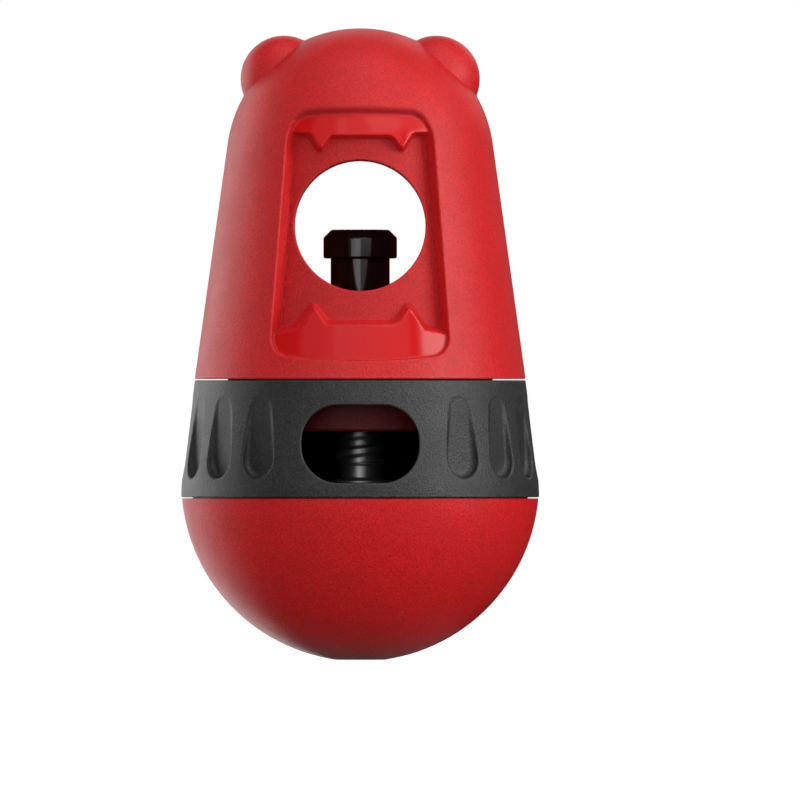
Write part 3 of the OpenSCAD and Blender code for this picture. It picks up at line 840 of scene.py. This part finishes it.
def grained(name, dark, light, worn, roughness, depth_mm, gloss=0.35, polished=None):
    """Moulded plastic with a spark-eroded grain, rubbed at its edges and polished where marked so."""
    material, nodes, links, shader = new_material(name)
    shader.inputs["Specular IOR Level"].default_value = gloss
    grain = noise(nodes, links, GRAIN_MM, GRAIN_DETAIL)
    cloud = noise(nodes, links, CLOUD_MM)
    peaks = spread(nodes, links, grain, 0, 1, *GRAIN_SPREAD)
    tone = mixed(nodes, links, peaks, (*dark, 1), (*light, 1), "RGBA")
    shade = mixed(nodes, links, spread(nodes, links, cloud, 0, CLOUD_SHARE), tone, (*dark, 1), "RGBA")
    rough = spread(nodes, links, cloud, roughness - ROUGH_RANGE, roughness + ROUGH_RANGE)
    bump = bumped(nodes, links, shader, grain, depth_mm)
    patches = spread(nodes, links, cloud, *RUBBED_PATCHES)
    rubbed = mixed(nodes, links, mark_of(nodes, "wear"), 0.0, patches)
    shade = mixed(nodes, links, rubbed, shade, (*worn, 1), "RGBA")
    rough = mixed(nodes, links, rubbed, rough, roughness - RUBBED_SMOOTHER)
    if polished:
        mask = mark_of(nodes, "polish")
        colour, polish = polished
        shade = mixed(nodes, links, mask, shade, (*colour, 1), "RGBA")
        rough = mixed(nodes, links, mask, rough, polish)
        links.new(mixed(nodes, links, mask, 1.0, 0.0), bump.inputs["Strength"])
    # painted shade: where the hollow mark lies the colour goes darker and the grain duller
    hollow = mark_of(nodes, "hollow")
    dim = [PAINTED_SHADE_SHARE * c for c in dark]
    shade = mixed(nodes, links, product(nodes, links, hollow, PAINTED_SHADE_COVER), shade, (*dim, 1), "RGBA")
    rough = mixed(nodes, links, hollow, rough, SHADE_MARK_ROUGH)
    links.new(shade, shader.inputs["Base Color"])
    links.new(rough, shader.inputs["Roughness"])
    return material


def smooth(
    name, colour, roughness, haze=0.04, gloss=0.5, metal=0.0, marks_mm=3.0, depth_mm=0.004, ior=1.5
):
    """Polished plastic or metal with faint handling marks and an uneven tone."""
    material, nodes, links, shader = new_material(name)
    shader.inputs["Specular IOR Level"].default_value = gloss
    shader.inputs["Metallic"].default_value = metal
    shader.inputs["IOR"].default_value = ior
    marks = noise(nodes, links, marks_mm, MARKS_DETAIL)
    low = [TONE_LOW * c for c in colour]
    high = [TONE_HIGH * c for c in colour]
    shade = mixed(nodes, links, spread(nodes, links, marks, 0, 1), (*low, 1), (*high, 1), "RGBA")
    links.new(shade, shader.inputs["Base Color"])
    links.new(spread(nodes, links, marks, roughness, roughness + haze), shader.inputs["Roughness"])
    bumped(nodes, links, shader, noise(nodes, links, GRAIN_MM), depth_mm)
    return material


POLISHED = (RED_POLISHED, POLISHED_ROUGH)
SHELL = grained(
    "shell_red", RED_DARK, RED_LIGHT, RED_WORN, roughness=0.44, depth_mm=0.1, polished=POLISHED
)
PLAIN_RED = grained(
    "base_red", RED_DARK, RED_LIGHT, RED_WORN, roughness=0.4, depth_mm=0.1, gloss=0.27
)
GREY = grained(
    "ring_grey", GREY_DARK, GREY_LIGHT, GREY_WORN, roughness=0.47, depth_mm=0.15, gloss=0.55
)
# painted shade: the lid's red is darkened to the shade it sits in inside the ring
LID_SHADED_RED = grained(
    "lid_red_painted_shade", LID_SHADED_DARK, LID_SHADED_LIGHT, LID_SHADED_LIGHT, roughness=0.52, depth_mm=0.1, gloss=0.25
)
KNOB_BLACK = smooth("knob_black", KNOB_BLACK_AND_RED_REFLECTION, roughness=0.1)
STUD_BLACK = smooth("stud_black", STUD_COLOUR, roughness=0.38, gloss=1.0, ior=2.6)
BLACK = smooth("cup_black", CUP_COLOUR, roughness=0.14)
RUBBER = smooth("washer_rubber", RUBBER_COLOUR, roughness=0.6, depth_mm=0.03)
STEEL = smooth(
    "screw_steel", STEEL_COLOUR, roughness=0.25, haze=0.1, metal=1.0, marks_mm=0.8, depth_mm=0.01
)
CAST_STEEL = smooth(
    "weight_steel", CAST_COLOUR, roughness=0.4, haze=0.15, metal=1.0, marks_mm=2.0, depth_mm=0.08
)
LOOKS = {
    "base_shell": PLAIN_RED,
    "chamber_lid": LID_SHADED_RED,
    "treat_cup": BLACK,
    "seat_nut": BLACK,
    "knob_washer": RUBBER,
    "cup_screws": STEEL,
    "stud_screw": STEEL,
    "lid_screws": STEEL,
    "counterweight": CAST_STEEL,
}


def dress_nodes():
    """Gives a material to every CAD node that is shown as it is."""
    for name, look in LOOKS.items():
        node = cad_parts[name]
        node.data.materials.clear()
        node.data.materials.append(look)


# Pieces
MESH_STEP = 0.41
MESH_MARGIN = 1


def add_head():
    """Red moulding, whose back mirrors its front."""
    low = HEAD_LOW - MESH_MARGIN
    high = HEAD_HIGH + MESH_MARGIN
    mirror = (False, True, False)
    places, normals, faces = net(head_field, head_fine, head_side, low, high, MESH_STEP, mirror)
    marks = skin_marks(head_field, places, normals) | {"polish": head_polish(places)}
    # painted shade on the mouth's top wall and floor joins the hollow mark
    marks["hollow"] = np.maximum(marks["hollow"], head_shade(places))
    add_piece("head_shell_skin", "head_shell", places, faces, SHELL, normals, marks)


def add_ring():
    """Dark grey fluted ring, whose left half mirrors its right."""
    low = RING_LOW - MESH_MARGIN
    high = RING_HIGH + MESH_MARGIN
    mirror = (True, False, False)
    places, normals, faces = net(ring_field, ring_fine, ring_side, low, high, MESH_STEP, mirror)
    marks = skin_marks(ring_field, places, normals)
    add_piece("grip_ring_skin", "grip_ring", places, faces, GREY, normals, marks)


# Knob, with a hub that clamps the head, a neck and a bevelled top
KNOB_BORE_R = 6.3
KNOB_BORE_H = 13.3
HUB_R = 11
HUB_H = 14.8
NECK_R = 7.25
NECK_H = 10.4
TOP_R = 9.03
BEVEL = 2
BORE_FILLET = 0.3
HUB_FILLET = 0.4
HUB_TOP_FILLET = 0.8
NECK_FILLET = 0.15
TOP_FOOT_FILLET = 0.55
BEVEL_FILLET = 0.9


def add_knob():
    """Black gloss knob, turned from its bore round to its top."""
    foot_z = KNOB_LOW[2]
    top_z = KNOB_HIGH[2]
    hub_z = foot_z + HUB_H
    head_z = hub_z + NECK_H
    bore_z = foot_z + KNOB_BORE_H
    line = rounded_line(
        [
            (0, bore_z, 0),
            (KNOB_BORE_R, bore_z, BORE_FILLET),
            (KNOB_BORE_R, foot_z, BORE_FILLET),
            (HUB_R, foot_z, HUB_FILLET),
            (HUB_R, hub_z, HUB_TOP_FILLET),
            (NECK_R, hub_z, HUB_FILLET),
            (NECK_R, head_z, NECK_FILLET),
            (TOP_R, head_z, TOP_FOOT_FILLET),
            (TOP_R, top_z - BEVEL, BEVEL_FILLET),
            (TOP_R - BEVEL, top_z, BEVEL_FILLET),
            (0, top_z, 0),
        ]
    )
    places, faces = turned(line[1:-1])
    add_piece("knob_skin", "knob", places, faces, KNOB_BLACK)


# Stud: a foot flange, a plain neck with a fillet at its foot, and a coarse thread
STUD_FOOT_Z = 42.5
STUD_FOOT_TOP = 44.1
STUD_FOOT_R = 8.0
STUD_NECK_R = 4.9
THREAD_Z = 48.1
THREAD_PITCH = 4.2
CREST_R = 6.0
ROOT_R = 4.95
CREST_HALF = 0.34
FLANK = 0.19
THREAD_PHASE = 0.06
THREAD_BELOW = 0.6
THREAD_SHORT = 1
THREAD_START = 0.4
THREAD_RISE = 0.5
THREAD_ROW = 0.14
THREAD_PLACES = 96

# Stud's foot and tip as radius and height
STUD_FOOT = [
    (STUD_FOOT_R, STUD_FOOT_Z),
    (STUD_FOOT_R, STUD_FOOT_TOP - 0.4),
    (STUD_FOOT_R - 0.12, STUD_FOOT_TOP - 0.12),
    (STUD_FOOT_R - 0.4, STUD_FOOT_TOP),
    (STUD_NECK_R + 0.8, STUD_FOOT_TOP + 0.05),
    (STUD_NECK_R + 0.25, STUD_FOOT_TOP + 0.3),
    (STUD_NECK_R, STUD_FOOT_TOP + 0.8),
]
STUD_TIP = [(5.2, STUD_TOP - 0.5), (4.6, STUD_TOP)]


def add_stud():
    """Black stud with a one-start thread, whose ridge winds up row by row."""
    rows = np.arange(THREAD_Z - THREAD_BELOW, STUD_TOP - THREAD_SHORT, THREAD_ROW)
    angles = np.linspace(0, 2 * math.pi, THREAD_PLACES, endpoint=False)
    phase = (rows[:, None] / THREAD_PITCH - angles[None] / (2 * math.pi) + THREAD_PHASE) % 1
    ridge = np.clip((CREST_HALF - np.abs(phase - 0.5)) / FLANK, 0, 1)
    start = np.clip((rows - THREAD_Z + THREAD_START) / THREAD_RISE, 0, 1)[:, None]
    thread = ROOT_R + (CREST_R - ROOT_R) * ridge * start
    foot = np.array(STUD_FOOT)
    tip = np.array(STUD_TIP)
    level = np.ones(len(angles))
    radius = np.concatenate([foot[:, :1] * level, thread, tip[:, :1] * level])
    places = np.empty((*radius.shape, 3))
    places[..., 0] = radius * np.cos(angles)
    places[..., 1] = radius * np.sin(angles)
    places[..., 2] = np.concatenate([foot[:, 1], rows, tip[:, 1]])[:, None]
    faces = capped_faces(np.arange(radius.size).reshape(radius.shape))
    add_piece("stud_skin", "stud", places.reshape(-1, 3), faces, STUD_BLACK)


dress_nodes()
add_head()
add_ring()
add_knob()
add_stud()


# Floor. Directions point from the toy, and lengths are in metres.
FLOOR = 4.0
FLOOR_NEAR = 0.88
FLOOR_FAR_FADE = (0.15, 0.5)
FLOOR_GREY = (0.45, 0.45, 0.45)
FLOOR_MIRRORED = (0.02, 0.02, 0.02)
FLOOR_BRIGHT = 1.6
FLOOR_FADE = (0.5, 0.95)
FLOOR_FOOT = 0.2
FLOOR_FOOT_FADE = (0.015, 0.04)

# World
BRIGHT_SIDE = (-0.74, 0.65, -0.17)
BRIGHT_FADE = (0.75, 1.0)
ROOM_LEVEL = 0.06
ROOM_BRIGHT = 2.4
FILL_SIDE = (-0.8, -0.6, 0.0)
FILL_FADE = (-0.2, 1.0)
FILL_LOW = 0.12
FILL_HIGH = 0.62

# Lamps: name, degrees round to the right of the camera, degrees up, width, height and level
LAMP_AIM = 0.08
LAMP_AWAY = 1.25
LAMPS = [
    ("key", 65, 11, 0.8, 0.68, 0.56),
    ("high_right", 40, 50, 1.2, 1.0, 0.22),
    ("side_high", 88, 38, 0.9, 0.6, 0.12),
    ("front", 9.5, 22, 1.3, 1.0, 0.22),
    ("front_left", -13.5, 1, 0.65, 0.2, 0.05),
    ("front_dim", -31, 24, 0.62, 0.9, 0.05),
    ("left", -118, 8, 0.7, 1.1, 0.18),
    ("top", 20, 84, 1.0, 1.0, 0.2),
    ("high_back", 180, 28, 1.6, 0.5, 0.15),
    ("back_right", 150, 20, 0.4, 0.6, 0.02),
]


def toward(nodes, links, way, side, low, high, fade):
    """Level that rises from low to high as a direction turns towards one side."""
    facing = nodes.new("ShaderNodeVectorMath")
    facing.operation = "DOT_PRODUCT"
    facing.inputs[1].default_value = side
    links.new(way, facing.inputs[0])
    return spread(nodes, links, facing.outputs["Value"], low, high, *fade)


def vector_step(nodes, links, kind, vector):
    """Outputs of one vector operation, such as a length."""
    step = nodes.new("ShaderNodeVectorMath")
    step.operation = kind
    links.new(vector, step.inputs[0])
    return step.outputs


def add_floor():
    """White to the camera but for the toy's soft shadow.

    Reflections find it dark, but for a bright part at the back left and a faint one under the toy.
    """
    mesh = bpy.data.meshes.new("floor")
    corners = [(-FLOOR, -FLOOR, 0), (FLOOR, -FLOOR, 0), (FLOOR, FLOOR, 0), (-FLOOR, FLOOR, 0)]
    mesh.from_pydata(corners, [], [(0, 1, 2, 3)])
    floor = bpy.data.objects.new("floor", mesh)
    bpy.context.collection.objects.link(floor)
    material, nodes, links, shader = new_material("floor")
    nodes.remove(shader)
    path = nodes.new("ShaderNodeLightPath")
    glossy = path.outputs["Is Glossy Ray"]
    place = nodes.new("ShaderNodeNewGeometry").outputs["Position"]
    away = vector_step(nodes, links, "LENGTH", place)["Value"]
    way = vector_step(nodes, links, "NORMALIZE", place)["Vector"]
    far = spread(nodes, links, away, FLOOR_NEAR, 1.0, *FLOOR_FAR_FADE)
    seen = product(nodes, links, path.outputs["Is Camera Ray"], far)
    foot = spread(nodes, links, away, FLOOR_FOOT, 0.0, *FLOOR_FOOT_FADE)
    side = toward(nodes, links, way, BRIGHT_SIDE, foot, FLOOR_BRIGHT, FLOOR_FADE)
    level = mixed(nodes, links, glossy, seen, side)
    glow = nodes.new("ShaderNodeEmission")
    links.new(level, glow.inputs["Strength"])
    colour = mixed(nodes, links, glossy, (*FLOOR_GREY, 1), (*FLOOR_MIRRORED, 1), "RGBA")
    diffuse = nodes.new("ShaderNodeBsdfDiffuse")
    links.new(colour, diffuse.inputs["Color"])
    both = nodes.new("ShaderNodeAddShader")
    links.new(diffuse.outputs[0], both.inputs[0])
    links.new(glow.outputs[0], both.inputs[1])
    links.new(both.outputs[0], nodes["Material Output"].inputs["Surface"])
    mesh.materials.append(material)


def add_world():
    """White behind the toy. Reflections find it bright at the back left and dim elsewhere."""
    world = bpy.data.worlds.new("world")
    bpy.context.scene.world = world
    world.use_nodes = True
    nodes = world.node_tree.nodes
    links = world.node_tree.links
    background = nodes["Background"]
    path = nodes.new("ShaderNodeLightPath")
    way = nodes.new("ShaderNodeTexCoord").outputs["Generated"]
    shiny = nodes.new("ShaderNodeMath")
    shiny.operation = "MAXIMUM"
    links.new(path.outputs["Is Glossy Ray"], shiny.inputs[0])
    links.new(path.outputs["Is Transmission Ray"], shiny.inputs[1])
    found = toward(nodes, links, way, BRIGHT_SIDE, ROOM_LEVEL, ROOM_BRIGHT, BRIGHT_FADE)
    fill = toward(nodes, links, way, FILL_SIDE, FILL_LOW, FILL_HIGH, FILL_FADE)
    level = mixed(nodes, links, shiny.outputs[0], fill, found)
    level = mixed(nodes, links, path.outputs["Is Camera Ray"], level, 1.0)
    links.new(level, background.inputs["Strength"])
    background.inputs["Color"].default_value = (1, 1, 1, 1)


def add_lamp(name, round_from_front, up, width, height, level):
    """Soft box that faces the toy, by its angles in degrees round to the right and up.

    Its level is the share of full daylight that it gives a surface facing it.
    """
    turn = math.radians(round_from_front)
    rise = math.radians(up)
    aim = Vector((0, 0, LAMP_AIM))
    way = Vector((math.sin(turn) * math.cos(rise), -math.cos(turn) * math.cos(rise), math.sin(rise)))
    data = bpy.data.lights.new(name, "AREA")
    data.shape = "RECTANGLE"
    data.size = width
    data.size_y = height
    data.energy = level * math.pi * math.pi * LAMP_AWAY**2
    lamp = bpy.data.objects.new(name, data)
    lamp.location = aim + way * LAMP_AWAY
    lamp.rotation_euler = (-way).to_track_quat("-Z", "Y").to_euler()
    bpy.context.collection.objects.link(lamp)


add_floor()
add_world()
for lamp in LAMPS:
    add_lamp(*lamp)

bpy.context.scene.view_settings.view_transform = "Standard"
